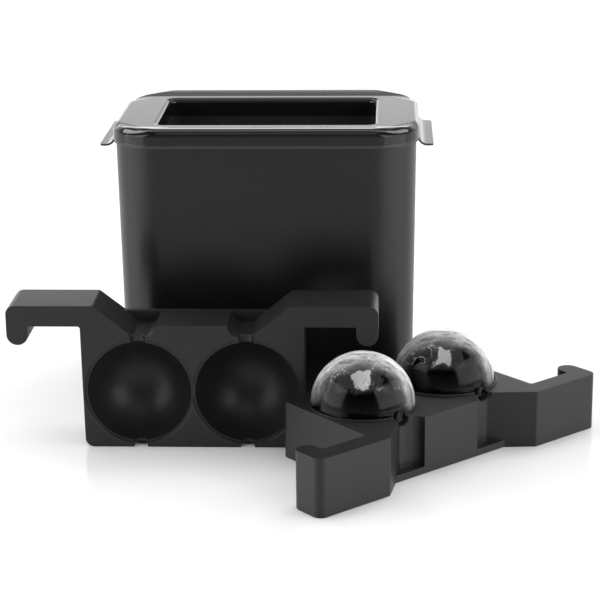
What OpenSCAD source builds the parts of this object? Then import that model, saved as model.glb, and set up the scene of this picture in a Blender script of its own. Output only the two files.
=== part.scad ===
// Clear ice ball mold: an insulated freezing tank, a silicone mold in two halves
// and the two clear balls of ice that come out of it.
// It is set out as it stands on a worktop after freezing: the tank at the back,
// one mold half standing on its foot in front of it with its cups to the front,
// the other lying on its back with the ice balls still in its cups.
// Units are millimetres, +Z is up, and the origin is the centre of the tank's base.
// In use the closed mold hangs in the tank: its arms lie on the two end lands of
// the frame and its hooks reach down outside the frame, above the liner's tabs.

/* [Ice balls] */
// Inside diameter of a cup, and so the size of the ball
ball_d = 60; // [54:1:64]
// Gap between the ice and the cup
ball_gap = 0.3; // [0.2:0.1:0.6]
// Length of the nub of ice that stays in the fill neck
nub_h = 1.6; // [0.8:0.2:2.4]

/* [Mold walls] */
// Web between the two cups
web_t = 2.3; // [1.8:0.1:3.4]
// Wall beside a cup, at the foot of the mold
side_wall = 2.3; // [1.5:0.1:4]
// Wall under a cup
foot_wall = 3.7; // [2.5:0.1:6]
// Wall over a cup, up to the floor of the fill trough
roof_wall = 3.7; // [2.5:0.1:6]
// Wall behind a cup
back_wall = 3.6; // [2.5:0.1:6]
// How much wider the body is at the arms than at its foot, on each side
body_draft = 0.7; // [0:0.1:3]
// Rounding of the foot's corners
foot_r = 5; // [2:0.5:8]

/* [Mold arms] */
// Height of the arms' underside above the trough floor
arm_rise = 5.7; // [4:0.1:8]
// Thickness of an arm
arm_t = 12.3; // [9:0.1:15]
// Width of a hook
hook_w = 12.5; // [10:0.5:16]
// How far a hook reaches below the arm's underside
hook_drop = 11.2; // [8:0.1:12]
// Gap between a hook and the side of the tank's frame
hook_gap = 2.1; // [0.5:0.1:3]
// Rounding of the arms' outer top corners
arm_r = 5; // [2:0.5:6]

/* [Fill troughs] */
// Width of the trough floor
trough_w = 9.3; // [9:0.1:12]
// Depth of a trough below the top of the middle block
trough_depth = 6.5; // [5:0.1:8]
// Cove between the middle block and the trough floor
cove_r = 6; // [3:0.1:7]
// Distance from a cup's centre out to the foot of the slope
slope_out = 2.7; // [2:0.1:5]
// Angle of the slope from the trough up to the arm
slope_angle = 38.4; // [34:0.2:48]
// Wall that closes the trough at the back of the mold
dam_t = 4.2; // [2.5:0.1:6]
// Diameter of the fill neck, of which each half has a half
neck_d = 8.8; // [6:0.1:8.8]
// Diameter of the drain at the foot of a cup
drain_d = 8; // [5:0.1:9]
// Width of the cross notch under a drain
notch_w = 8; // [6:0.1:10]
// Height of the cross notch
notch_h = 2.2; // [1.2:0.1:2.6]

/* [Mold seal] */
// Height of the sealing lip round a cup
lip_h = 1; // [0.6:0.1:1.4]
// Thickness of the sealing lip
lip_t = 1.2; // [0.9:0.1:1.2]
// Extra depth of the rabbet that takes the lip
seal_depth_gap = 0.2; // [0.1:0.1:0.4]
// Gap between the lip and the rabbet's side
seal_side_gap = 0.1; // [0.05:0.05:0.2]

/* [Tank frame] */
// Outside width of the frame
frame_w = 184; // [176:1:200]
// Outside depth of the frame
frame_d = 129; // [122:1:145]
// Corner radius of the frame, seen from above
frame_r = 30; // [20:1:32]
// Height of the end lands, which carry the mold's arms, above the worktop
land_z = 172.5; // [150:0.5:200]
// Height of the frame from its foot to the end lands
frame_h = 7.5; // [6.5:0.1:12]
// Rise of the front and back ridges above the end lands
ridge_rise = 1.5; // [1:0.1:4]
// Distance of the ridges' crest from the frame's front and back edges
crest_in = 4; // [3:0.5:8]
// Distance over which the ridges run out at the ends
ridge_end = 22; // [14:0.5:30]
// How far the ridges' crest is cut back at its ends
ridge_cut = 10; // [6:0.5:14]
// How far the corners of the lands are cut back, along each side
corner_cut = 30.5; // [20:0.5:34]
// Width and height of the crowned edge round the lands
edge_r = 3; // [1:0.1:4]
// Rounding of the mouth's top edge
mouth_edge_r = 3; // [1:0.1:4]
// Corner radius of the mouth
mouth_r = 5; // [3:0.5:8]
// Side gap between the hanging mold and the mouth, at each end
mouth_gap_w = 0.8; // [0.6:0.1:3]
// Gap between the closed mold and the mouth, front and back
mouth_gap_d = 6.4; // [0.6:0.1:7]
// Wall of the frame
frame_wall = 2.2; // [1.6:0.1:3]
// How far the frame's locating skirt reaches into the liner
skirt_h = 3; // [2:0.2:6]
// Thickness of the locating skirt
skirt_t = 1.6; // [1.2:0.1:2]

/* [Inner liner] */
// Gap between the locating skirt and the liner
skirt_gap = 0.3; // [0.2:0.1:0.6]
// Wall of the liner
liner_wall = 1.6; // [1.2:0.1:2.4]
// How much narrower the liner is at its floor, on each side
liner_draft = 2; // [0.5:0.1:3]
// Rounding of the liner's floor edge
liner_floor_r = 6; // [3:0.5:8]
// Thickness of the liner's flange and tabs
flange_t = 1.2; // [0.8:0.1:1.6]
// How far the flange turns down over the shell's rim
flange_drop = 2.6; // [1.8:0.1:4]
// How far a grip tab stands out from the frame
tab_out = 8.6; // [8:0.1:12]
// Radius of a tab's curve, on its upper face
tab_r = 5; // [4:0.1:7]
// Rounding of a tab's corners
tab_corner_r = 2; // [0.5:0.5:5]

/* [Shell and insulation] */
// How far the shell's rim lies inside the frame's outline
rim_inset = 1.7; // [1.5:0.1:3]
// How much narrower the shell is at its base, on each side
shell_draft = 1.9; // [0.2:0.1:3]
// Wall of the shell
shell_wall = 2.2; // [1.6:0.1:3]
// Floor of the shell
shell_floor = 3; // [2:0.1:4]
// Rounding of the shell's bottom edge
base_edge_r = 3; // [1:0.5:4]
// Foam under the liner
foam_floor = 16; // [8:0.5:25]
// Gap round the foam
foam_gap = 0.3; // [0.2:0.1:0.8]
// Gap between the foam's top and the liner's flange
foam_top_gap = 0.6; // [0.3:0.1:1]

/* [Layout on the worktop] */
// Gap between the tank and the back of the standing half
stand_gap = 29.5; // [15:0.1:80]
// Sideways place of the standing half
stand_x = -38.5; // [-60:0.1:-20]
// Gap between the standing half and the lying half
pair_gap = 0.9; // [0.5:0.1:10]
// How far the lying half's centre lies past the standing half's corner
lie_along = 46.1; // [40:0.1:70]
// Turn of the lying half
lie_turn = 41.8; // [36:0.1:50]

/* [Hidden] */
$fn = 64;
eps = 0.01;
// Length by which a cutter runs past the face that it opens
over = 2;
// Steps in a quarter turn: large corners, small rounds
corner_steps = 10;
round_steps = 5;
// Shift that keeps two faces from lying in one plane
plane_shift = 0.2;
// Ledge between a cup's edge and the foot of its lip
lip_ledge = 0.1;
// Small rounding of inner and upper corners of the mold's outline
armpit_r = 1.5;
slope_r = 2;
trough_r = 1.2;
block_r = 0.4;
notch_r = 1;
// Rounding of the crowned tops, seen from above
crown_r = 8;
nub_gap = 0.3;

cup_r = ball_d / 2;
cup_x = (ball_d + web_t) / 2;
cup_z = foot_wall + cup_r;
half_t = cup_r + back_wall;
foot_half = cup_x + cup_r + side_wall;
arm_half = foot_half + body_draft;
trough_z = cup_z + cup_r + roof_wall;
block_z = trough_z + trough_depth;
arm_z = trough_z + arm_rise;
arm_top = arm_z + arm_t;
hook_in = frame_w / 2 + hook_gap;
hook_out = hook_in + hook_w;
hook_z = arm_z - hook_drop;
cove = min(cove_r, trough_depth - block_r);
block_half = cup_x - trough_w / 2 - cove;
slope_foot = cup_x + slope_out;
slope_top = slope_foot + (arm_top - trough_z) / tan(slope_angle);
slope_at_block = slope_foot + (block_z - trough_z) / tan(slope_angle);
rabbet_r = cup_r + lip_ledge + lip_t + seal_side_gap;

mouth_half_w = arm_half + mouth_gap_w;
mouth_half_d = half_t + mouth_gap_d;
frame_z = land_z - frame_h;
rim_z = frame_z - flange_t;
crest_z = land_z + ridge_rise;
tab_half = frame_d / 2 - frame_r;
liner_half_w = mouth_half_w + skirt_t + skirt_gap;
liner_half_d = mouth_half_d + skirt_t + skirt_gap;
liner_r = mouth_r + skirt_t + skirt_gap;
shell_half_w = frame_w / 2 - rim_inset;
shell_half_d = frame_d / 2 - rim_inset;
shell_r = frame_r - rim_inset;
foam_top_z = rim_z - foam_top_gap;
liner_base_z = shell_floor + foam_floor + foam_gap;

stand_y = -(frame_d / 2 + stand_gap + half_t);
// The standing half's front corner, as wide as it is at the lying half's height
near_corner = [stand_x + foot_half + body_draft * half_t / arm_z, stand_y];
lie_u = [cos(lie_turn), sin(lie_turn)];
lie_v = [sin(lie_turn), -cos(lie_turn)];
lie_at = near_corner + lie_along * lie_u + pair_gap * lie_v;

// A corner of an outline, given as [x, y, radius], cut to an arc
function unit(v) = v / norm(v);
function corner(before, at, after, steps) =
    let(here = [at[0], at[1]],
        p = unit([before[0], before[1]] - here),
        q = unit([after[0], after[1]] - here),
        half = acos(p * q) / 2,
        r = at[2],
        centre = here + unit(p + q) * r / sin(half),
        start = here + p * r / tan(half) - centre,
        end = here + q * r / tan(half) - centre,
        from = atan2(start[1], start[0]),
        turn = (atan2(end[1], end[0]) - from + 900) % 360 - 180)
    r == 0 ? [here] : [for (i = [0:steps])
        centre + r * [cos(from + turn * i / steps), sin(from + turn * i / steps)]];

function rounded(points, steps = round_steps) =
    let(n = len(points))
    [for (i = [0:n - 1]) each corner(points[(i + n - 1) % n], points[i],
        points[(i + 1) % n], steps)];

function mirrored(points) =
    concat(points, [for (i = [len(points) - 1:-1:0]) [-points[i][0], points[i][1],
        points[i][2]]]);

// A rounded rectangle as points, from its half width, half depth and radius
function rect_ring(half_w, half_d, r, steps = corner_steps) =
    rounded([[half_w, -half_d, r], [half_w, half_d, r], [-half_w, half_d, r],
        [-half_w, -half_d, r]], steps);

// A rectangle with its corners cut off at 45 degrees and rounded, as points
function cut_ring(half_w, half_d, cut) =
    rounded([for (p = [[half_w - cut, -half_d], [half_w, cut - half_d],
            [half_w, half_d - cut], [half_w - cut, half_d],
            [cut - half_w, half_d], [-half_w, half_d - cut],
            [-half_w, cut - half_d], [cut - half_w, -half_d]])
        [p[0], p[1], crown_r]]);

// A level of a loft, moved in by a distance: [half width, half depth, radius, z]
function inset_level(half_w, half_d, r, by, z) = [half_w - by, half_d - by, r - by, z];

// A solid through levels of rounded rectangles, from the lowest to the highest
module loft(levels) {
    skin([for (l = levels) rect_ring(l[0], l[1], l[2])], [for (l = levels) l[3]]);
}

// A solid with the frame's outline, moved in by a distance: it goes straight up from
// foot_z to edge_z, and from there its side is crowned in to a ring at top_z
module crowned(by, foot_z, edge_z, top_z, top) {
    outline = rect_ring(frame_w / 2 - by, frame_d / 2 - by, frame_r - by,
        2 * round_steps + 1);
    angles = [for (i = [0:round_steps]) 90 * i / round_steps];
    skin(concat([outline], [for (a = angles) outline + (top - outline) * (1 - cos(a))]),
        concat([foot_z], [for (a = angles) edge_z + (top_z - edge_z) * sin(a)]));
}

// A solid through rings of points at their heights, from the lowest to the highest
module skin(rings, heights) {
    n = len(rings[0]);
    last = len(rings) - 1;
    polyhedron(
        points = [for (k = [0:last]) for (p = rings[k]) [p[0], p[1], heights[k]]],
        faces = concat(
            [[for (i = [0:n - 1]) i]],
            [[for (i = [n - 1:-1:0]) last * n + i]],
            [for (k = [0:last - 1]) for (i = [0:n - 1])
                let(j = (i + 1) % n)
                [k * n + i, (k + 1) * n + i, (k + 1) * n + j, k * n + j]]),
        convexity = 6);
}

// A straight slab with a rounded outline
module slab(half_w, half_d, r, z0, z1) {
    translate([0, 0, z0])
        linear_extrude(z1 - z0)
            polygon(rect_ring(half_w, half_d, r));
}

// Extrudes an X-Z outline along Y
module along_y(y0, y1) {
    translate([0, y1, 0])
        rotate([90, 0, 0])
            linear_extrude(y1 - y0)
                children();
}

// Extrudes a Y-Z outline along X
module along_x(x0, x1) {
    translate([x0, 0, 0])
        rotate([90, 0, 90])
            linear_extrude(x1 - x0)
                children();
}

// Outer shell: a tapered bucket with a flat base
module outer_shell() {
    color([0.07, 0.07, 0.08])
        difference() {
            loft(concat(
                [for (i = [0:round_steps])
                    let(a = 90 * i / round_steps)
                    inset_level(shell_half_w - shell_draft, shell_half_d - shell_draft,
                        shell_r - shell_draft, base_edge_r * (1 - sin(a)),
                        base_edge_r * (1 - cos(a)))],
                [inset_level(shell_half_w, shell_half_d, shell_r, 0, rim_z)]));
            loft([
                inset_level(shell_half_w - shell_draft, shell_half_d - shell_draft,
                    shell_r - shell_draft, shell_wall, shell_floor),
                inset_level(shell_half_w, shell_half_d, shell_r, shell_wall,
                    rim_z + over)]);
        }
}

// Foam insulation: fills the room between the shell and the liner
module foam_insulation() {
    by = shell_wall + foam_gap;
    color([0.86, 0.86, 0.83])
        difference() {
            loft([
                inset_level(shell_half_w - shell_draft, shell_half_d - shell_draft,
                    shell_r - shell_draft, by, shell_floor),
                inset_level(shell_half_w, shell_half_d, shell_r, by, foam_top_z)]);
            liner_body(liner_wall + foam_gap, liner_base_z - foam_gap,
                foam_top_z + over);
        }
}

// The liner's tapered box, grown by a distance from its inner faces
module liner_body(by, z0, z1) {
    w = liner_half_w - liner_draft + by;
    d = liner_half_d - liner_draft + by;
    r = liner_r + by;
    edge = min(liner_floor_r, r - 1);
    loft(concat(
        [for (i = [0:round_steps])
            let(a = 90 * i / round_steps)
            inset_level(w, d, r, edge * (1 - sin(a)), z0 + edge * (1 - cos(a)))],
        [inset_level(liner_half_w + by, liner_half_d + by, r, 0, z1)]));
}

// Inner liner: the water tank, with a flange on the shell's rim that turns down
// over it and runs out into a grip tab at each end
module inner_liner() {
    color([0.10, 0.10, 0.11])
        difference() {
            union() {
                liner_body(liner_wall, liner_base_z, frame_z);
                slab(frame_w / 2, frame_d / 2, frame_r, rim_z, frame_z);
                difference() {
                    slab(frame_w / 2, frame_d / 2, frame_r, frame_z - flange_drop,
                        frame_z);
                    slab(frame_w / 2 - flange_t, frame_d / 2 - flange_t,
                        frame_r - flange_t, frame_z - flange_drop - over, rim_z);
                }
                grip_tabs();
            }
            liner_body(0, liner_base_z + liner_wall, frame_z + over);
        }
}

// Grip tabs: the sheet leaves the frame's side and curves out to a level tip
module grip_tabs() {
    arc_x = frame_w / 2 + tab_r;
    arc_z = frame_z - flange_t / 2;
    band = concat(
        [for (i = [0:2 * round_steps])
            let(a = 180 + 90 * i / (2 * round_steps))
            [arc_x + tab_r * cos(a), arc_z + tab_r * sin(a)]],
        [[frame_w / 2 + tab_out, arc_z - tab_r],
            [frame_w / 2 + tab_out, arc_z - tab_r - flange_t]],
        [for (i = [2 * round_steps:-1:0])
            let(a = 180 + 90 * i / (2 * round_steps))
            [arc_x + (tab_r + flange_t) * cos(a), arc_z + (tab_r + flange_t) * sin(a)]]);
    intersection() {
        for (side = [0, 1])
            mirror([side, 0, 0])
                along_y(-tab_half, tab_half)
                    polygon(band);
        slab(frame_w / 2 + tab_out, tab_half, tab_corner_r,
            arc_z - tab_r - flange_t - over, frame_z);
    }
}

// Top frame: flat lands at its ends, wide sloping corners, a raised ridge along its
// front and back, a rounded mouth and a locating skirt that drops into the liner
module top_frame() {
    edge_z = land_z - edge_r;
    inner = edge_r + frame_wall / 2;
    color([0.09, 0.09, 0.10])
        difference() {
            union() {
                crowned(0, frame_z, edge_z, land_z,
                    cut_ring(frame_w / 2 - edge_r, frame_d / 2 - edge_r, corner_cut));
                ridges(edge_z);
                slab(mouth_half_w + skirt_t, mouth_half_d + skirt_t, mouth_r + skirt_t,
                    frame_z - skirt_h, frame_z + frame_wall);
            }
            difference() {
                crowned(frame_wall, frame_z - over, edge_z - frame_wall,
                    land_z - frame_wall,
                    cut_ring(frame_w / 2 - inner, frame_d / 2 - inner, corner_cut));
                slab(mouth_half_w + frame_wall, mouth_half_d + frame_wall,
                    mouth_r + frame_wall, frame_z - 2 * skirt_h, land_z);
            }
            mouth();
        }
}

// The two ridges, cut from one crowned solid by a channel with coved sides
module ridges(edge_z) {
    cove_from = mouth_half_d + mouth_edge_r;
    crest_y = frame_d / 2 - crest_in;
    steps = 2 * round_steps;
    floor_z = land_z - plane_shift;
    // Height of the channel's side, from its foot at 0 to the crest at 1
    function cove_z(t) = floor_z + (crest_z - floor_z) * (1 - cos(180 * t)) / 2;
    side = [for (i = [0:steps])
        [cove_from + (crest_y - cove_from) * i / steps, cove_z(i / steps)]];
    difference() {
        crowned(0, edge_z - 2 * plane_shift, edge_z, crest_z,
            cut_ring(frame_w / 2 - ridge_end, frame_d / 2 - crest_in, ridge_cut));
        along_x(-frame_w, frame_w)
            polygon(concat(side, [[crest_y, crest_z + over], [-crest_y, crest_z + over]],
                [for (i = [steps:-1:0]) [-side[i][0], side[i][1]]]));
    }
}

// Cutter for the mouth: straight through, with its top edge rounded over
module mouth() {
    loft(concat(
        [inset_level(mouth_half_w, mouth_half_d, mouth_r, 0, frame_z - skirt_h - over)],
        [for (i = [0:round_steps])
            let(a = 90 * i / round_steps)
            inset_level(mouth_half_w, mouth_half_d, mouth_r,
                -mouth_edge_r * (1 - cos(a)), land_z - mouth_edge_r * (1 - sin(a)))],
        [inset_level(mouth_half_w, mouth_half_d, mouth_r, -mouth_edge_r,
            crest_z + over)]));
}

// One mold half, standing on its foot: the mating face is y = 0, the back is
// y = half_t, and the cups are centred on the mating face
module mold_half() {
    outer = [
        [foot_half, 0, foot_r],
        [arm_half, arm_z, armpit_r],
        [hook_in, arm_z, armpit_r],
        [hook_in, hook_z, hook_w / 2 - eps],
        [hook_out, hook_z, hook_w / 2 - eps],
        [hook_out, arm_top, arm_r],
        [slope_top, arm_top, slope_r]];
    troughs = [
        [slope_foot, trough_z, trough_r],
        [block_half, trough_z, cove],
        [block_half, block_z, block_r]];
    dam = [[slope_at_block, block_z, trough_r]];
    difference() {
        union() {
            along_y(0, half_t - dam_t)
                polygon(rounded(mirrored(concat(outer, troughs))));
            along_y(half_t - dam_t, half_t)
                polygon(rounded(mirrored(concat(outer, dam))));
        }
        for (side = [-1, 1])
            translate([side * cup_x, 0, 0]) {
                translate([0, 0, cup_z])
                    sphere(r = cup_r);
                along_y(-over, half_t + over)
                    polygon(rounded([[-notch_w / 2, -over, 0], [notch_w / 2, -over, 0],
                        [notch_w / 2, notch_h, notch_r],
                        [-notch_w / 2, notch_h, notch_r]]));
                neck_and_drain();
            }
    }
}

// Cutter for the half-round fill neck over a cup and the drain below it
module neck_and_drain() {
    translate([0, 0, cup_z + cup_r / 2])
        cylinder(d = neck_d, h = trough_z + over - cup_z - cup_r / 2);
    translate([0, 0, -over])
        cylinder(d = drain_d, h = cup_z - cup_r / 2 + over);
}

// Standing half: a rabbet round each cup takes the other half's lip
module standing_mold_half() {
    color([0.16, 0.16, 0.17])
        translate([stand_x, stand_y, 0])
            difference() {
                mold_half();
                for (side = [-1, 1])
                    translate([side * cup_x, lip_h + seal_depth_gap, cup_z])
                        rotate([90, 0, 0])
                            cylinder(r = rabbet_r, h = lip_h + seal_depth_gap + over);
            }
}

// Puts a standing half down on its back at the lying half's place
module laid_down() {
    translate([lie_at[0], lie_at[1], half_t])
        rotate([0, 0, lie_turn + 180])
            rotate([-90, 0, 0])
                children();
}

// Lying half: a raised lip round each cup, broken at the neck and the drain
module lying_mold_half() {
    color([0.16, 0.16, 0.17])
        laid_down()
            union() {
                mold_half();
                difference() {
                    for (side = [-1, 1])
                        translate([side * cup_x, 0, cup_z])
                            rotate([90, 0, 0])
                                cylinder(r = cup_r + lip_ledge + lip_t, h = lip_h);
                    for (side = [-1, 1])
                        translate([side * cup_x, 0, 0]) {
                            translate([0, over, cup_z])
                                rotate([90, 0, 0])
                                    cylinder(r = cup_r + lip_ledge,
                                        h = lip_h + 2 * over);
                            neck_and_drain();
                        }
                }
            }
}

// An ice ball in the lying half, with the nub that froze in the fill neck
module ice_ball(side) {
    color([0.75, 0.85, 0.92, 0.5])
        laid_down()
            translate([side * cup_x, 0, cup_z])
                union() {
                    sphere(r = cup_r - ball_gap);
                    cylinder(r = neck_d / 2 - nub_gap, h = cup_r + nub_h);
                }
}

module left_ice_ball() {
    ice_ball(1);
}

module right_ice_ball() {
    ice_ball(-1);
}

outer_shell();
foam_insulation();
inner_liner();
top_frame();
standing_mold_half();
lying_mold_half();
left_ice_ball();
right_ice_ball();
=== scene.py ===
"""A clear ice ball mold taken apart on a worktop: its looks, built around the CAD frame."""
import math

import bmesh
import bpy
from mathutils import Matrix, Vector


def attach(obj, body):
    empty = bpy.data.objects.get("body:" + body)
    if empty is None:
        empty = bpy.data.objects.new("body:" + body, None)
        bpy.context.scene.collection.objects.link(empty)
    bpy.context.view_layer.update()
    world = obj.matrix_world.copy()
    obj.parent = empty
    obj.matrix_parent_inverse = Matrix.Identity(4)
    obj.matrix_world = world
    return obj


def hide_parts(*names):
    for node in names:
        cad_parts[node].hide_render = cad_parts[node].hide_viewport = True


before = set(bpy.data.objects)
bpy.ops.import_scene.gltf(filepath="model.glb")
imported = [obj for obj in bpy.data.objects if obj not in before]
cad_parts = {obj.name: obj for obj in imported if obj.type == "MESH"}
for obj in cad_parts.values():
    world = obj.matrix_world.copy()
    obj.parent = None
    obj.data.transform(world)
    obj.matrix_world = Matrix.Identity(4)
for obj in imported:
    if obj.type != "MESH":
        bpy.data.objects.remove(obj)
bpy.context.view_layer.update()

# Sizes in metres, the same as in the part's source but for the ridges' two marked ones
MM = 0.001

CUP_R = 30 * MM
CUP_X = 31.15 * MM
CUP_Z = 33.7 * MM
HALF_T = 33.6 * MM
FOOT_HALF = 63.45 * MM
ARM_HALF = 64.15 * MM
FOOT_R = 5 * MM
ARM_Z = 73.1 * MM
ARM_TOP = 85.4 * MM
ARM_R = 5 * MM
ARMPIT_R = 1.5 * MM
HOOK_IN = 94.1 * MM
HOOK_OUT = 106.6 * MM
HOOK_Z = 61.9 * MM
TROUGH_Z = 67.4 * MM
BLOCK_Z = 73.9 * MM
BLOCK_HALF = 20.5 * MM
COVE_R = 6 * MM
TROUGH_R = 1.2 * MM
SLOPE_R = 2 * MM
SLOPE_FOOT = 33.85 * MM
SLOPE_TAN = math.tan(math.radians(38.4))
DAM_T = 4.2 * MM
NECK_R = 4.4 * MM
DRAIN_R = 4 * MM
NOTCH_HALF = 4 * MM
NOTCH_H = 2.2 * MM
NOTCH_R = 1 * MM
LIP_H = 1 * MM
LIP_IN = 30.1 * MM
LIP_OUT = 31.3 * MM
RABBET_R = 31.4 * MM
RABBET_DEPTH = 1.2 * MM
SOFT_EDGE = 0.35 * MM

STAND_AT = Vector((-38.5 * MM, -127.6 * MM, 0))
LIE_TURN = math.radians(41.8)
LIE_AT = Vector((60.238 * MM, -97.544 * MM, HALF_T))

BALL_GAP = 0.3 * MM
NUB_GAP = 0.3 * MM
NUB_H = 1.6 * MM

FRAME_HALF_W = 92 * MM
FRAME_HALF_D = 64.5 * MM
FRAME_R = 30 * MM
FRAME_FOOT_Z = 165 * MM
LAND_Z = 172.5 * MM
CREST_Z = 174 * MM
CREST_IN = 4 * MM
# The ridges run further round the corners than the part's source has them (22 and 10)
RIDGE_END = 12 * MM
RIDGE_CUT = 15 * MM
CORNER_CUT = 30.5 * MM
CROWN_R = 8 * MM
# A crowned side wider than the first starts to fall sooner, most from the second on
CROWN_NARROW = 4 * MM
CROWN_WIDE = 12 * MM
CROWN_EASE = 0.45
# How far the ridges' dished channel is sunk into the lands, where it starts
DISH_SUNK = 0.2 * MM
DISH_STEPS = 24
EDGE_R = 3 * MM
MOUTH_HALF_W = 64.95 * MM
MOUTH_HALF_D = 40 * MM
MOUTH_R = 5 * MM
MOUTH_EDGE_R = 3 * MM
FRAME_WALL = 2.2 * MM
SKIRT_H = 3 * MM
SKIRT_T = 1.6 * MM

LINER_HALF_W = 66.85 * MM
LINER_HALF_D = 41.9 * MM
LINER_R = 6.9 * MM
LINER_WALL = 1.6 * MM
LINER_DRAFT = 2 * MM
LINER_BASE_Z = 19.3 * MM
LINER_FLOOR_R = 6 * MM
FLANGE_T = 1.2 * MM
FLANGE_DROP = 2.6 * MM
TAB_OUT = 8.6 * MM
TAB_R = 5 * MM
TAB_HALF = 34.5 * MM
TAB_CORNER_R = 2 * MM

SHELL_HALF_W = 90.3 * MM
SHELL_HALF_D = 62.8 * MM
SHELL_R = 28.3 * MM
SHELL_DRAFT = 1.9 * MM
SHELL_WALL = 2.2 * MM
SHELL_FLOOR = 3 * MM
BASE_EDGE_R = 3 * MM
RIM_Z = 163.8 * MM

CORNER_STEPS = 19
ROUND_STEPS = 8
CROWN_STEPS = 12
CUP_STEPS = 40
CHANNEL_STEPS = 48
OVER = 2 * MM
QUARTER_TURN = math.pi / 2
FULL_TURN = 2 * math.pi


# Materials

class Value:
    """A shader socket that can stand in an expression."""

    def __init__(self, look, socket):
        self.look = look
        self.socket = socket

    def math(self, operation, first, second):
        return self.look.math(operation, first, second)

    def __add__(self, other):
        return self.math("ADD", self, other)

    def __sub__(self, other):
        return self.math("SUBTRACT", self, other)

    def __mul__(self, other):
        return self.math("MULTIPLY", self, other)

    __radd__ = __add__


class Look:
    """A node tree being made, for a material or for the world."""

    def __init__(self, owner):
        owner.use_nodes = True
        self.owner = owner
        self.tree = owner.node_tree
        self.tree.nodes.clear()

    def node(self, kind, settings=None, inputs=None, out=0):
        """Adds a node with its settings, then its inputs, and gives one of its outputs."""
        made = self.tree.nodes.new("ShaderNode" + kind)
        for name, setting in (settings or {}).items():
            if name == "stops":
                self.set_stops(made.color_ramp, setting)
            else:
                setattr(made, name, setting)
        for name, given in (inputs or {}).items():
            if isinstance(given, Value):
                self.tree.links.new(given.socket, made.inputs[name])
            else:
                made.inputs[name].default_value = given
        return Value(self, made.outputs[out]) if len(made.outputs) else made

    @staticmethod
    def set_stops(ramp, stops):
        while len(ramp.elements) < len(stops):
            ramp.elements.new(1)
        for element, (place, colour) in zip(ramp.elements, stops):
            element.position = place
            element.color = (*colour, 1)

    def place(self):
        return self.node("TexCoord", out="Object")

    def noise(self, scale, detail=2, rough=0.5, where=None):
        return self.node("TexNoise", None, {
            "Vector": where or self.place(), "Scale": scale, "Detail": detail,
            "Roughness": rough})

    def math(self, operation, first, second):
        return self.node("Math", {"operation": operation}, {0: first, 1: second})

    def ramp(self, fac, stops):
        return self.node("ValToRGB", {"stops": stops}, {"Fac": fac})

    def between(self, value, low, high, to_low=0, to_high=1):
        """Maps a value from one range to another, and holds it there."""
        return self.node("MapRange", None, {
            "Value": value, "From Min": low, "From Max": high, "To Min": to_low,
            "To Max": to_high})

    def bump(self, height, strength, distance):
        return self.node("Bump", None, {
            "Height": height, "Strength": strength, "Distance": distance})

    def surface(self, shader):
        self.node("OutputMaterial", None, {"Surface": shader})
        return self.owner


def new_look(name):
    return Look(bpy.data.materials.new(name))


def grey(level):
    return (level, level, level)


def moulded_black(name, level, roughness, ior):
    """Glossy injection-moulded plastic, with faint flow marks and handling smudges."""
    look = new_look(name)
    flow = look.noise(14, 3)
    smudge = look.between(look.noise(38, 4, 0.6), 0.45, 0.75)
    peel = look.noise(260, 2)
    colour = look.ramp(flow, [
        (0.3, (level * 0.92, level * 0.92, level * 0.95)),
        (0.7, (level * 1.08, level * 1.08, level * 1.12))])
    return look.surface(look.node("BsdfPrincipled", None, {
        "Base Color": colour,
        "Roughness": roughness + smudge * 0.05,
        "IOR": ior,
        "Normal": look.bump(peel, 0.06, 0.0002)}))


def silicone():
    """Matte black silicone, with a fine moulded grain and a trace of dust."""
    look = new_look("dark_silicone")
    cloud = look.noise(30, 4, 0.6)
    dust = look.between(look.noise(900, 2), 0.68, 0.8)
    grain = look.noise(2600, 2)
    colour = look.node("Mix", {"data_type": "RGBA"}, {
        "Factor": dust * 0.03,
        "A": look.ramp(cloud, [(0.3, grey(0.011)), (0.75, grey(0.014))]),
        "B": (0.3, 0.3, 0.3, 1)}, out="Result")
    return look.surface(look.node("BsdfPrincipled", None, {
        "Base Color": colour,
        "Roughness": look.between(cloud, 0.3, 0.7, 0.36, 0.42),
        "IOR": 1.38,
        "Normal": look.bump(grain, 0.02, 0.0001)}))


def insulating_foam():
    """Rigid off-white foam, with small open cells."""
    look = new_look("insulating_foam")
    cells = look.node("TexVoronoi", None, {"Vector": look.place(), "Scale": 700})
    tint = look.noise(20, 3)
    return look.surface(look.node("BsdfPrincipled", None, {
        "Base Color": look.ramp(tint, [(0.3, (0.80, 0.78, 0.70)), (0.7, (0.88, 0.87, 0.81))]),
        "Roughness": 0.9,
        "Normal": look.bump(cells, 0.5, 0.0004)}))


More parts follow.
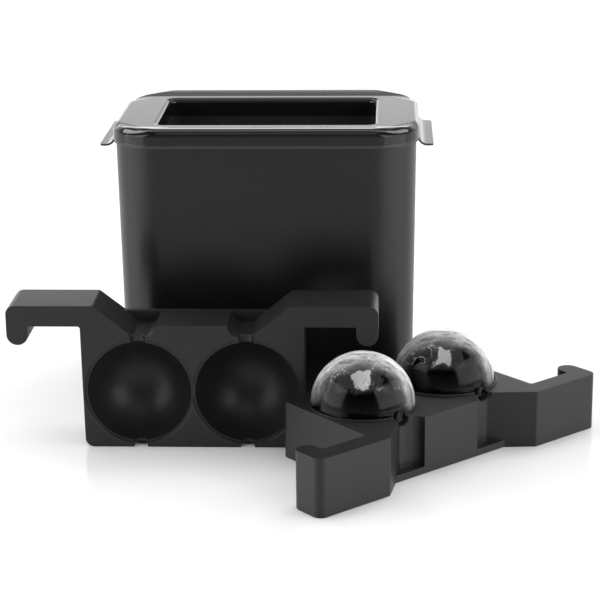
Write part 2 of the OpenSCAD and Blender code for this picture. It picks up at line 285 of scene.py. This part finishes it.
def clear_ice(name, centre):
    """Clear ice round a centre: dark where it shows its cup, and coloured darker towards the
    bottom as painted shade, with a streaked white band at its back and top and on one side as a
    painted highlight, a pale patch as a painted window reflection, fine cracks and a wet
    surface."""
    look = new_look(name)
    from_centre = look.node("VectorMath", {"operation": "SUBTRACT"}, {
        0: look.place(), 1: centre})

    def along(x, y, z):
        return look.node("VectorMath", {"operation": "DOT_PRODUCT"}, {
            0: from_centre, 1: Vector((x, y, z)) / CUP_R}, out="Value")

    side = along(1, 0, 0)
    rise = along(0, 0.29, 0.957)
    front = along(0, -0.957, 0.29)
    turn = look.math("ARCTAN2", side, rise)
    streaks = look.noise(1, 6, 0.68, look.node("CombineXYZ", None, {
        "X": front * 7, "Y": turn * 2.6}))
    # Painted highlight: a streaked white band over the ball's back and top, and a bright patch
    # low on one side, stand in for light caught at the rim
    painted_rim_highlight = look.between(front, 0.74, 0.2) * look.between(rise, -0.05, 0.75)
    painted_flank_highlight = look.between(front, 0.66, 0.4) * look.between(side, 0.5, 0.75) * look.between(
        rise, -0.2, 0)
    painted_highlight_mask = (painted_rim_highlight * 1.15 + painted_flank_highlight * 0.35) * look.between(front, -0.5, -0.15)
    # cloud here is the painted highlight, broken up by streaks
    cloud = look.between(streaks, 0.38, 0.62, 0.3, 0.95) * painted_highlight_mask
    veins = look.noise(95, 3, 0.55)
    crack = look.between(look.math("ABSOLUTE", veins - 0.5, 0), 0.002, 0.012, 1, 0)
    cracked = crack * look.between(rise, 0.22, 0.45) * look.between(look.noise(45), 0.52, 0.62)
    melt = look.noise(60, 3, 0.6)
    ragged = look.noise(170, 4, 0.7) * 0.36 - 0.18

    def painted_pane(left, right, low, high):
        """A painted window reflection: a pale patch with ragged sides, between two sides and
        two heights.
        """
        shape = look.between(front, 0, 0.1)
        for where, start, end in ((side + ragged, left, right), (rise + ragged, low, high)):
            shape = shape * look.between(where, start - 0.01, start + 0.01) * look.between(
                where, end - 0.01, end + 0.01, 1, 0)
        return shape

    # Painted reflection of a bright window, with a dim patch beside it
    painted_window_reflection = painted_pane(-0.16, 0.14, 0.31, 0.62) * look.between(melt, 0.3, 0.6, 0.22, 0.33) + painted_pane(
        -0.46, 0.36, 0.26, 0.7) * 0.025
    normal = look.bump(melt, 0.2, 0.0008)
    # Painted shade: the glass's colour runs from dark at the bottom to pale at the top
    glass = look.node("BsdfPrincipled", None, {
        "Base Color": look.ramp(rise, [
            (0.2, grey(0.06)), (0.5, grey(0.22)), (0.95, grey(0.85))]),
        "Roughness": look.between(melt, 0.4, 0.7, 0.12, 0.18),
        "IOR": 1.24,
        "Transmission Weight": 1.0,
        "Normal": normal})
    # A white shader for the cracks, and for the painted highlight and painted window reflection
    crack_and_highlight_white = look.node("BsdfPrincipled", None, {
        "Base Color": (0.93, 0.94, 0.95, 1),
        "Roughness": 0.25,
        "Normal": look.bump(streaks, 0.5, 0.001)})
    # The painted highlight, the painted window reflection and the cracks mix in the white
    # shader
    return look.surface(look.node("MixShader", None, {
        0: look.between(cloud + cracked * 0.45 + painted_window_reflection, 0, 1), 1: glass, 2: crack_and_highlight_white}))


def floor_white():
    """The pale worktop, faintly glossy."""
    look = new_look("pale_floor")
    return look.surface(look.node("BsdfPrincipled", None, {
        "Base Color": (0.93, 0.93, 0.93, 1), "Roughness": 0.13, "IOR": 1.6}))


# Meshes

def with_edges(faces):
    """Faces with their edges and vertices, so that an extrusion leaves no face inside."""
    found = dict.fromkeys(faces)
    for face in faces:
        found.update(dict.fromkeys([*face.edges, *face.verts]))
    return list(found)


def grow(bm, face, level_from, level_to):
    """Extrudes a rounded rectangle to its next level: half width, half depth, radius, z."""
    made = bmesh.ops.extrude_face_region(bm, geom=with_edges([face]))["geom"]
    top = next(g for g in made if isinstance(g, bmesh.types.BMFace))
    w0, d0, r0, z0 = level_from
    w1, d1, r1, z1 = level_to
    for vert in top.verts:
        sx = math.copysign(1, vert.co.x)
        sy = math.copysign(1, vert.co.y)
        along_x = (vert.co.x - sx * (w0 - r0)) / r0
        along_y = (vert.co.y - sy * (d0 - r0)) / r0
        vert.co = (sx * (w1 - r1) + along_x * r1, sy * (d1 - r1) + along_y * r1, z1)
    return top


def stack(levels, top=None):
    """A solid that rises from level to level, each a rounded rectangle. A top closes it
    with a crown."""
    bm = bmesh.new()
    half_w, half_d, radius, z = levels[0]
    corners = [bm.verts.new((sx * half_w, sy * half_d, z))
        for sx, sy in ((-1, -1), (1, -1), (1, 1), (-1, 1))]
    bm.faces.new(corners)
    round_off(bm, corners, radius, CORNER_STEPS, "VERTICES")
    face = next(iter(bm.faces))
    for before, after in zip(levels, levels[1:]):
        face = grow(bm, face, before, after)
    if top:
        crown(bm, face, *top)
    bmesh.ops.recalc_face_normals(bm, faces=bm.faces)
    return bm


def crown(bm, face, half_w, half_d, cut, top_z):
    """Closes a stack on the frame's outline with a crowned side, up to a smaller ring whose
    corners are cut off at 45 degrees and rounded."""
    tangent = CROWN_R * math.tan(QUARTER_TURN / 4)
    ways = {}
    for vert in face.verts:
        sx, sy = (math.copysign(1, c) for c in vert.co.xy)
        turn = Vector((abs(vert.co.x) - FRAME_HALF_W + FRAME_R,
            abs(vert.co.y) - FRAME_HALF_D + FRAME_R)).normalized()
        if turn.x > turn.y:
            centre = (half_w - CROWN_R, half_d - cut - tangent)
        else:
            centre = (half_w - cut - tangent, half_d - CROWN_R)
        end = (sx * (centre[0] + turn.x * CROWN_R), sy * (centre[1] + turn.y * CROWN_R), top_z)
        width = (vert.co - Vector(end)).xy.length
        wide = (width - CROWN_NARROW) / (CROWN_WIDE - CROWN_NARROW)
        power = 1 + CROWN_EASE * min(1, max(0, wide))
        ways[tuple(vert.co)] = (vert.co.copy(), Vector(end), power)
    for a in quarter(CROWN_STEPS)[1:]:
        made = bmesh.ops.extrude_face_region(bm, geom=with_edges([face]))["geom"]
        face = next(g for g in made if isinstance(g, bmesh.types.BMFace))
        onward = {}
        for vert in face.verts:
            start, end, power = ways[tuple(vert.co)]
            vert.co = start.lerp(end, 1 - max(0, math.cos(a)) ** power)
            vert.co.z = start.z + (end.z - start.z) * math.sin(a) ** power
            onward[tuple(vert.co)] = (start, end, power)
        ways = onward


def round_off(bm, geom, offset, steps, affect="EDGES"):
    bmesh.ops.bevel(bm, geom=geom, offset=offset, offset_type="OFFSET", segments=steps,
        profile=0.5, affect=affect, material=-1)


def moved_in(half_w, half_d, radius, by, z):
    """A level moved in from an outline by a distance."""
    return (half_w - by, half_d - by, radius - by, z)


def quarter(steps=ROUND_STEPS):
    """Angles of a quarter turn, from 0 to a right angle."""
    return [QUARTER_TURN * i / steps for i in range(steps + 1)]


def prism(points, y0, y1):
    """A solid between two Y planes, from X-Z points."""
    bm = bmesh.new()
    face = bm.faces.new([bm.verts.new((x, y0, z)) for x, z in points])
    made = bmesh.ops.extrude_face_region(bm, geom=[face])["geom"]
    verts = [g for g in made if isinstance(g, bmesh.types.BMVert)]
    bmesh.ops.translate(bm, vec=(0, y1 - y0, 0), verts=verts)
    bmesh.ops.recalc_face_normals(bm, faces=bm.faces)
    return bm


def turned(profile, steps=96):
    """A solid turned round the Y axis from (radius, y) points."""
    bm = bmesh.new()
    verts = [bm.verts.new((radius, y, 0)) for radius, y in profile]
    edges = [bm.edges.new(pair) for pair in zip(verts, verts[1:])]
    bmesh.ops.spin(bm, geom=verts + edges, cent=(0, 0, 0), axis=(0, 1, 0),
        angle=FULL_TURN, steps=steps, use_merge=True)
    bmesh.ops.remove_doubles(bm, verts=bm.verts, dist=1e-7)
    bmesh.ops.recalc_face_normals(bm, faces=bm.faces)
    return bm


def shifted(bm, x=0, y=0, z=0):
    bmesh.ops.translate(bm, vec=(x, y, z), verts=bm.verts)
    return bm


def work_object(bm):
    mesh = bpy.data.meshes.new("work")
    bm.to_mesh(mesh)
    bm.free()
    made = bpy.data.objects.new("work", mesh)
    bpy.context.scene.collection.objects.link(made)
    return made


def combined(target, tool, operation):
    """Two closed meshes joined, or the second cut from the first."""
    objects = [work_object(target), work_object(tool)]
    boolean = objects[0].modifiers.new("work", "BOOLEAN")
    boolean.operation = operation
    boolean.solver = "EXACT"
    boolean.object = objects[1]
    shape = objects[0].evaluated_get(bpy.context.evaluated_depsgraph_get())
    result = bmesh.new()
    result.from_mesh(shape.to_mesh())
    shape.to_mesh_clear()
    for made in objects:
        mesh = made.data
        bpy.data.objects.remove(made)
        bpy.data.meshes.remove(mesh)
    bmesh.ops.remove_doubles(result, verts=result.verts, dist=2e-6)
    return result


def sharp_edges(bm, angle):
    limit = math.radians(angle)
    return [e for e in bm.edges if len(e.link_faces) == 2 and e.calc_face_angle() > limit]


def piece(name, bm, body, material, stands_for, sharp_angle=32):
    """Makes the finished object from its mesh, puts it on the body it rides on, and hides the
    CAD part it stands for.
    """
    for face in bm.faces:
        face.smooth = True
    for edge in sharp_edges(bm, sharp_angle):
        edge.smooth = False
    mesh = bpy.data.meshes.new(name)
    bm.to_mesh(mesh)
    bm.free()
    mesh.materials.append(material)
    made = bpy.data.objects.new(name, mesh)
    bpy.context.scene.collection.objects.link(made)
    normals = made.modifiers.new("even_normals", "WEIGHTED_NORMAL")
    normals.keep_sharp = True
    normals.weight = 90
    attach(made, body)
    if stands_for:
        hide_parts(stands_for)
    return made


# The tank

def shell_mesh():
    """A tapered bucket with a rounded base."""
    foot = (SHELL_HALF_W - SHELL_DRAFT, SHELL_HALF_D - SHELL_DRAFT, SHELL_R - SHELL_DRAFT)
    top = (SHELL_HALF_W, SHELL_HALF_D, SHELL_R)
    rising = [moved_in(*foot, BASE_EDGE_R * (1 - math.sin(a)), BASE_EDGE_R * (1 - math.cos(a)))
        for a in quarter()]
    return stack(rising + [
        (*top, RIM_Z),
        moved_in(*top, SHELL_WALL, RIM_Z),
        moved_in(*foot, SHELL_WALL, SHELL_FLOOR)])


def liner_floor(wall, z):
    """Levels of the liner's rounded floor, for its outer or its inner face."""
    outline = (LINER_HALF_W - LINER_DRAFT + wall, LINER_HALF_D - LINER_DRAFT + wall,
        LINER_R + wall)
    edge = min(LINER_FLOOR_R, LINER_R + wall - MM)
    return [moved_in(*outline, edge * (1 - math.sin(a)), z + edge * (1 - math.cos(a)))
        for a in quarter()]


def liner_mesh():
    """The water tank with its flange, which turns down over the shell's rim."""
    frame_outline = (FRAME_HALF_W, FRAME_HALF_D, FRAME_R)
    inner = (LINER_HALF_W, LINER_HALF_D, LINER_R)
    edge = 0.5 * MM
    drop_z = FRAME_FOOT_Z - FLANGE_DROP
    bm = stack(
        liner_floor(LINER_WALL, LINER_BASE_Z)
        + [moved_in(*inner, -LINER_WALL, RIM_Z),
            moved_in(*frame_outline, FLANGE_T, RIM_Z),
            moved_in(*frame_outline, FLANGE_T, drop_z)]
        + [moved_in(*frame_outline, edge * (1 - math.sin(a)), drop_z + edge * (1 - math.cos(a)))
            for a in quarter(4)]
        + [moved_in(*frame_outline, edge * (1 - math.cos(a)),
            FRAME_FOOT_Z - edge * (1 - math.sin(a))) for a in quarter(4)]
        + [(*inner, FRAME_FOOT_Z)]
        + liner_floor(0, LINER_BASE_Z + LINER_WALL)[::-1])
    for side in (-1, 1):
        bm = combined(bm, tab_mesh(side), "UNION")
    return bm


def tab_mesh(side):
    """A grip tab: a sheet that curves down and out to a level tip."""
    bm = bmesh.new()
    side_x = side * FRAME_HALF_W
    top_z = FRAME_FOOT_Z - FLANGE_T / 2
    ends = [bm.verts.new((side_x, y, top_z)) for y in (-TAB_HALF, TAB_HALF)]
    start = bm.edges.new(ends)
    centre = (side_x + side * TAB_R, 0, top_z)
    bmesh.ops.spin(bm, geom=[*ends, start], cent=centre, axis=(0, -side, 0),
        angle=QUARTER_TURN, steps=2 * ROUND_STEPS)
    tip = [v for v in bm.verts if v.co.z < top_z - TAB_R + 1e-6]
    tip_edge = [e for e in bm.edges if all(v in tip for v in e.verts)]
    made = bmesh.ops.extrude_edge_only(bm, edges=tip_edge)["geom"]
    tip = [g for g in made if isinstance(g, bmesh.types.BMVert)]
    bmesh.ops.translate(bm, vec=(side * (TAB_OUT - TAB_R), 0, 0), verts=tip)
    round_off(bm, tip, TAB_CORNER_R, ROUND_STEPS, "VERTICES")
    bmesh.ops.recalc_face_normals(bm, faces=bm.faces)
    if sum(f.normal.z for f in bm.faces) < 0:
        bmesh.ops.reverse_faces(bm, faces=bm.faces)
    bmesh.ops.solidify(bm, geom=bm.faces, thickness=FLANGE_T)
    bmesh.ops.recalc_face_normals(bm, faces=bm.faces)
    return bm


def ridge_mesh():
    """The front and back ridges: a crowned solid with a dished channel along it. It starts
    inside the frame's wall, and no face of it coincides with one of the frame's."""
    base_z = LAND_Z - EDGE_R
    outline = (FRAME_HALF_W, FRAME_HALF_D, FRAME_R)
    crowned = stack([
        moved_in(*outline, FRAME_WALL + MM, LAND_Z - FRAME_WALL + 0.4 * MM),
        moved_in(*outline, FRAME_WALL / 2, base_z + 0.1 * MM),
        moved_in(*outline, 0.01 * MM, base_z)],
        (FRAME_HALF_W - RIDGE_END, FRAME_HALF_D - CREST_IN, RIDGE_CUT, CREST_Z))
    foot_y = MOUTH_HALF_D + MOUTH_EDGE_R
    crest_y = FRAME_HALF_D - CREST_IN
    foot_z = LAND_Z - DISH_SUNK
    dish = []
    for i in range(DISH_STEPS + 1):
        part = i / DISH_STEPS
        dish.append((foot_y + (crest_y - foot_y) * part,
            foot_z + (CREST_Z - foot_z) * (1 - math.cos(math.pi * part)) / 2))
    above = [(crest_y, CREST_Z + OVER), (-crest_y, CREST_Z + OVER)]
    channel = prism(dish + above + [(-y, z) for y, z in dish[::-1]],
        -2 * FRAME_HALF_W, 2 * FRAME_HALF_W)
    bmesh.ops.rotate(channel, cent=(0, 0, 0), matrix=Matrix.Rotation(QUARTER_TURN, 3, "Z"),
        verts=channel.verts)
    return combined(crowned, channel, "DIFFERENCE")


def frame_mesh():
    """The frame round the mouth, with its lands, sloping corners, ridges and skirt."""
    outline = (FRAME_HALF_W, FRAME_HALF_D, FRAME_R)
    mouth = (MOUTH_HALF_W, MOUTH_HALF_D, MOUTH_R)
    skirt_z = FRAME_FOOT_Z - SKIRT_H
    edge_z = LAND_Z - EDGE_R
    body = stack([(*outline, FRAME_FOOT_Z), (*outline, edge_z)],
        (FRAME_HALF_W - EDGE_R, FRAME_HALF_D - EDGE_R, CORNER_CUT, LAND_Z))
    body = combined(body, ridge_mesh(), "UNION")
    inner = EDGE_R + FRAME_WALL / 2
    room = stack([
        moved_in(*outline, FRAME_WALL, skirt_z - OVER),
        moved_in(*outline, FRAME_WALL, edge_z - FRAME_WALL)],
        (FRAME_HALF_W - inner, FRAME_HALF_D - inner, CORNER_CUT, LAND_Z - FRAME_WALL))
    room = combined(room, stack([moved_in(*mouth, -FRAME_WALL, skirt_z - 2 * OVER),
        moved_in(*mouth, -FRAME_WALL, LAND_Z)]), "DIFFERENCE")
    body = combined(body, room, "DIFFERENCE")
    skirt = stack([moved_in(*mouth, -SKIRT_T, skirt_z),
        moved_in(*mouth, -SKIRT_T, FRAME_FOOT_Z + FRAME_WALL)])
    body = combined(body, skirt, "UNION")
    cutter = stack([moved_in(*mouth, 0, skirt_z - OVER)]
        + [moved_in(*mouth, -MOUTH_EDGE_R * (1 - math.cos(a)),
            LAND_Z - MOUTH_EDGE_R * (1 - math.sin(a))) for a in quarter()]
        + [moved_in(*mouth, -MOUTH_EDGE_R, CREST_Z + OVER)])
    return combined(body, cutter, "DIFFERENCE")


# The mold halves

def mold_outline():
    """The right half of a mold half's outline, from the foot up to the middle block, as
    (x, z, radius), then the four corners of the trough's cross-section."""
    slope_top = SLOPE_FOOT + (ARM_TOP - TROUGH_Z) / SLOPE_TAN
    slope_at_block = SLOPE_FOOT + (BLOCK_Z - TROUGH_Z) / SLOPE_TAN
    hook_r = (HOOK_OUT - HOOK_IN) / 2 - 0.02 * MM
    sides = [
        (0, 0, 0), (CUP_X - NOTCH_HALF, 0, 0), (CUP_X - NOTCH_HALF, NOTCH_H, NOTCH_R),
        (CUP_X + NOTCH_HALF, NOTCH_H, NOTCH_R), (CUP_X + NOTCH_HALF, 0, 0),
        (FOOT_HALF, 0, FOOT_R), (ARM_HALF, ARM_Z, ARMPIT_R), (HOOK_IN, ARM_Z, ARMPIT_R),
        (HOOK_IN, HOOK_Z, hook_r), (HOOK_OUT, HOOK_Z, hook_r), (HOOK_OUT, ARM_TOP, ARM_R),
        (slope_top, ARM_TOP, SLOPE_R)]
    trough = [(slope_at_block, BLOCK_Z, 0), (SLOPE_FOOT, TROUGH_Z, TROUGH_R),
        (BLOCK_HALF, TROUGH_Z, COVE_R), (BLOCK_HALF, BLOCK_Z, 0)]
    return sides, trough


def round_corner(bm, x, z, radius):
    """Rounds the edge that runs along Y at a corner of the outline."""
    edges = [e for e in bm.edges if len(e.link_faces) == 2
        and all(abs(v.co.x - x) < 1e-6 and abs(v.co.z - z) < 1e-6 for v in e.verts)
        and e.calc_face_angle() > 0.1]
    angle = edges[0].calc_face_angle()
    round_off(bm, edges, radius * math.tan(angle / 2), ROUND_STEPS)


def extruded(bm, faces, vector):
    """Extrudes faces, and gives the moved ones, the largest first."""
    made = bmesh.ops.extrude_face_region(bm, geom=with_edges(faces))["geom"]
    verts = [g for g in made if isinstance(g, bmesh.types.BMVert)]
    bmesh.ops.translate(bm, vec=vector, verts=verts)
    moved = [g for g in made if isinstance(g, bmesh.types.BMFace)]
    return sorted(moved, key=lambda f: -f.calc_area())


def mold_blank():
    """A mold half before its cups: back slab with the troughs' dam, front part, mirrored."""
    bm = bmesh.new()
    sides, trough = mold_outline()
    verts = {(x, z): bm.verts.new((x, HALF_T, z)) for x, z, r in sides + trough}
    top = bm.verts.new((0, HALF_T, BLOCK_Z))
    body = bm.faces.new([verts[x, z] for x, z, r in sides + trough] + [top])
    dam = bm.faces.new([verts[x, z] for x, z, r in trough])
    body, dam = extruded(bm, [body, dam], (0, -DAM_T, 0))
    extruded(bm, [body], (0, DAM_T - HALF_T, 0))
    bmesh.ops.recalc_face_normals(bm, faces=bm.faces)
    for x, z, radius in sides + trough:
        if radius:
            round_corner(bm, x, z, radius)
    middle = [f for f in bm.faces if all(abs(v.co.x) < 1e-7 for v in f.verts)]
    bmesh.ops.delete(bm, geom=middle, context="FACES_ONLY")
    bmesh.ops.mirror(bm, geom=bm.verts[:] + bm.edges[:] + bm.faces[:], merge_dist=1e-6,
        axis="X")
    bmesh.ops.remove_doubles(bm, verts=bm.verts, dist=1e-6)
    bmesh.ops.recalc_face_normals(bm, faces=bm.faces)
    bmesh.ops.dissolve_limit(bm, angle_limit=math.radians(0.5), verts=bm.verts, edges=bm.edges)
    round_off(bm, sharp_edges(bm, 25), SOFT_EDGE, 2)
    return bm


def cup_cutter(mouth):
    """A hemisphere along +Y, ending in the mouth's own (radius, y) points."""
    rim_y = mouth[0][1]
    rim_angle = math.asin(rim_y / CUP_R)
    arc = [rim_angle + (QUARTER_TURN - rim_angle) * i / CUP_STEPS
        for i in range(CUP_STEPS, -1, -1)]
    return turned([(CUP_R * math.cos(a), CUP_R * math.sin(a)) for a in arc]
        + mouth + [(mouth[-1][0], -2 * OVER), (0, -2 * OVER)])


def channel_cutter():
    """The half-round fill neck above a cup, slightly flared, and the drain below it."""
    flare = 0.5 * MM
    neck = turned([(0, CUP_Z + CUP_R / 2), (NECK_R, CUP_Z + CUP_R / 2),
        (NECK_R, TROUGH_Z - flare), (NECK_R + flare, TROUGH_Z + flare / 4),
        (NECK_R + flare, TROUGH_Z + OVER), (0, TROUGH_Z + OVER)], CHANNEL_STEPS)
    drain = turned([(0, -OVER), (DRAIN_R, -OVER), (DRAIN_R, CUP_Z - CUP_R / 2),
        (0, CUP_Z - CUP_R / 2)], CHANNEL_STEPS)
    upright = Matrix.Rotation(QUARTER_TURN, 3, "X")
    for bm in (neck, drain):
        bmesh.ops.rotate(bm, cent=(0, 0, 0), matrix=upright, verts=bm.verts)
    return neck, drain


def with_cups(bm, mouth):
    for side in (-1, 1):
        cutters = (cup_cutter(mouth), *channel_cutter())
        for tool, z in zip(cutters, (CUP_Z, 0, 0)):
            bm = combined(bm, shifted(tool, x=side * CUP_X, z=z), "DIFFERENCE")
    return bm


def rabbeted_half():
    chamfer = 0.3 * MM
    rim = (math.sqrt(CUP_R ** 2 - RABBET_DEPTH ** 2), RABBET_DEPTH)
    return with_cups(mold_blank(), [rim, (RABBET_R, RABBET_DEPTH), (RABBET_R, chamfer),
        (RABBET_R + chamfer, 0)])


def lipped_half():
    chamfer = 0.25 * MM
    bm = mold_blank()
    for side in (-1, 1):
        lip = turned([(0, MM), (LIP_OUT, MM), (LIP_OUT, chamfer - LIP_H),
            (LIP_OUT - chamfer, -LIP_H), (0, -LIP_H)])
        bm = combined(bm, shifted(lip, x=side * CUP_X, z=CUP_Z), "UNION")
    return with_cups(bm, [(CUP_R, 0), (LIP_IN, 0), (LIP_IN, chamfer - LIP_H),
        (LIP_IN + chamfer, -LIP_H)])


def laid_down():
    """Where a standing half goes when it is put down on its back."""
    return (Matrix.Translation(LIE_AT) @ Matrix.Rotation(LIE_TURN + math.pi, 4, "Z")
        @ Matrix.Rotation(-QUARTER_TURN, 4, "X"))


# The ice

def ball_mesh(side):
    """A ball of ice with the nub that froze in the fill neck."""
    bm = bmesh.new()
    bmesh.ops.create_icosphere(bm, subdivisions=7, radius=CUP_R - BALL_GAP)
    nub_r = NECK_R - NUB_GAP - MM
    nub = turned([(0, CUP_R / 2), (nub_r, CUP_R / 2)]
        + [(nub_r - MM * (1 - math.cos(a)), CUP_R + NUB_H - MM * (1 - math.sin(a)))
            for a in quarter(4)] + [(0, CUP_R + NUB_H)], CHANNEL_STEPS)
    bmesh.ops.rotate(nub, cent=(0, 0, 0), matrix=Matrix.Rotation(QUARTER_TURN, 3, "X"),
        verts=nub.verts)
    bm = combined(bm, nub, "UNION")
    bm.transform(laid_down() @ Matrix.Translation((side * CUP_X, 0, CUP_Z)))
    return bm


def make_pieces():
    shell_black = moulded_black("shell_black", level=0.004, roughness=0.33, ior=1.42)
    frame_black = moulded_black("frame_black", level=0.006, roughness=0.07, ior=1.38)
    liner_black = moulded_black("liner_black", level=0.025, roughness=0.14, ior=1.4)
    rubber = silicone()

    piece("tank_shell", shell_mesh(), "tank", shell_black, "outer_shell")
    piece("tank_liner", liner_mesh(), "liner", liner_black, "inner_liner")
    piece("tank_frame", frame_mesh(), "frame", frame_black, "top_frame")

    standing = rabbeted_half()
    standing.transform(Matrix.Translation(STAND_AT))
    piece("standing_half", standing, "standing_half", rubber,
        "standing_mold_half")
    lying = lipped_half()
    lying.transform(laid_down())
    piece("lying_half", lying, "lying_half", rubber, "lying_mold_half")

    for name, side in (("left", 1), ("right", -1)):
        centre = laid_down() @ Vector((side * CUP_X, 0, CUP_Z))
        piece(name + "_ball", ball_mesh(side), name + "_ball",
            clear_ice(name + "_ice", centre), name + "_ice_ball", sharp_angle=60)

    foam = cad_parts["foam_insulation"]
    foam.data.materials.clear()
    foam.data.materials.append(insulating_foam())


# The studio

# Strength of the world's light: its wall in front, its wall behind, its ceiling, and how
# much brighter both walls are near the horizon
FRONT_WALL = 0.26
BACK_WALL = 1.08
CEILING = 0.28
HORIZON = 1.8

FLOOR_SIZE = 12
FLOOR_DROP = 0.1 * MM

# The camera fitted to the photograph: place, heading, pitch and roll in degrees, and lens
CAMERA_AT = (73.36 * MM, -1184.9 * MM, 412.33 * MM)
CAMERA_TURN = (2.687, 16.96, -0.63)
CAMERA_LENS = 117.26


def softbox(name, at, aim, width, height, strength):
    """An area light of a given radiance, which the camera doesn't see."""
    lamp = bpy.data.lights.new(name, "AREA")
    lamp.shape = "RECTANGLE"
    lamp.size = width
    lamp.size_y = height
    lamp.energy = strength * math.pi * width * height
    made = bpy.data.objects.new(name, lamp)
    bpy.context.scene.collection.objects.link(made)
    made.location = at
    made.rotation_mode = "QUATERNION"
    made.rotation_quaternion = (Vector(aim) - Vector(at)).to_track_quat("-Z", "Y")
    made.visible_camera = False


def make_studio():
    bm = bmesh.new()
    bmesh.ops.create_grid(bm, x_segments=1, y_segments=1, size=FLOOR_SIZE)
    mesh = bpy.data.meshes.new("floor")
    bm.to_mesh(mesh)
    bm.free()
    mesh.materials.append(floor_white())
    floor = bpy.data.objects.new("floor", mesh)
    bpy.context.scene.collection.objects.link(floor)
    floor.location = (0, 0, -FLOOR_DROP)

    world = bpy.data.worlds.new("studio")
    bpy.context.scene.world = world
    look = Look(world)
    gaze = look.node("TexCoord", out="Generated")
    depth = look.node("SeparateXYZ", None, {"Vector": gaze}, out="Y")
    height = look.node("SeparateXYZ", None, {"Vector": gaze}, out="Z")
    wall = look.between(depth, -0.7, 0.3, FRONT_WALL, BACK_WALL)
    ceiling = look.between(height, 0.34, 0.5, 1, CEILING)
    horizon = look.between(height, 0.1, 0.24, HORIZON, 1)
    light = wall * ceiling * horizon
    look.node("OutputWorld", None, {"Surface": look.node("Background", None, {
        "Color": (1, 1, 1, 1), "Strength": light})})

    softbox("left_box", (-1.05, -0.45, 0.5), (0, 0, 0.1), 1.2, 0.9, 3.3)
    softbox("right_box", (1.05, -0.55, 0.5), (0, 0, 0.1), 1.3, 0.9, 3.2)
    softbox("left_lamp", (-0.7, 0.55, 1.1), (-0.08, -0.05, 0.17), 0.45, 0.45, 5)
    softbox("right_lamp", (0.7, 0.55, 1.1), (0.08, -0.05, 0.17), 0.45, 0.45, 5)
    softbox("top_box", (0, 0.3, 1.9), (0, -0.1, 0), 1.6, 1.2, 2.1)
    softbox("front_box", (0.08, -0.72, 0.96), (0.08, -0.12, 0.03), 0.7, 0.7, 0.85)


def make_camera():
    data = bpy.data.cameras.new("photo_camera")
    data.lens = CAMERA_LENS
    data.sensor_width = 36
    made = bpy.data.objects.new("photo_camera", data)
    bpy.context.scene.collection.objects.link(made)
    made.location = CAMERA_AT
    heading, pitch, roll = (math.radians(a) for a in CAMERA_TURN)
    gaze = (Matrix.Rotation(heading, 3, "Z") @ Matrix.Rotation(QUARTER_TURN - pitch, 3, "X")
        @ Matrix.Rotation(roll, 3, "Z"))
    made.rotation_mode = "QUATERNION"
    made.rotation_quaternion = gaze.to_quaternion()
    data.clip_end = 50
    bpy.context.scene.camera = made


bpy.context.scene.view_settings.view_transform = "Standard"
make_camera()
make_pieces()
make_studio()
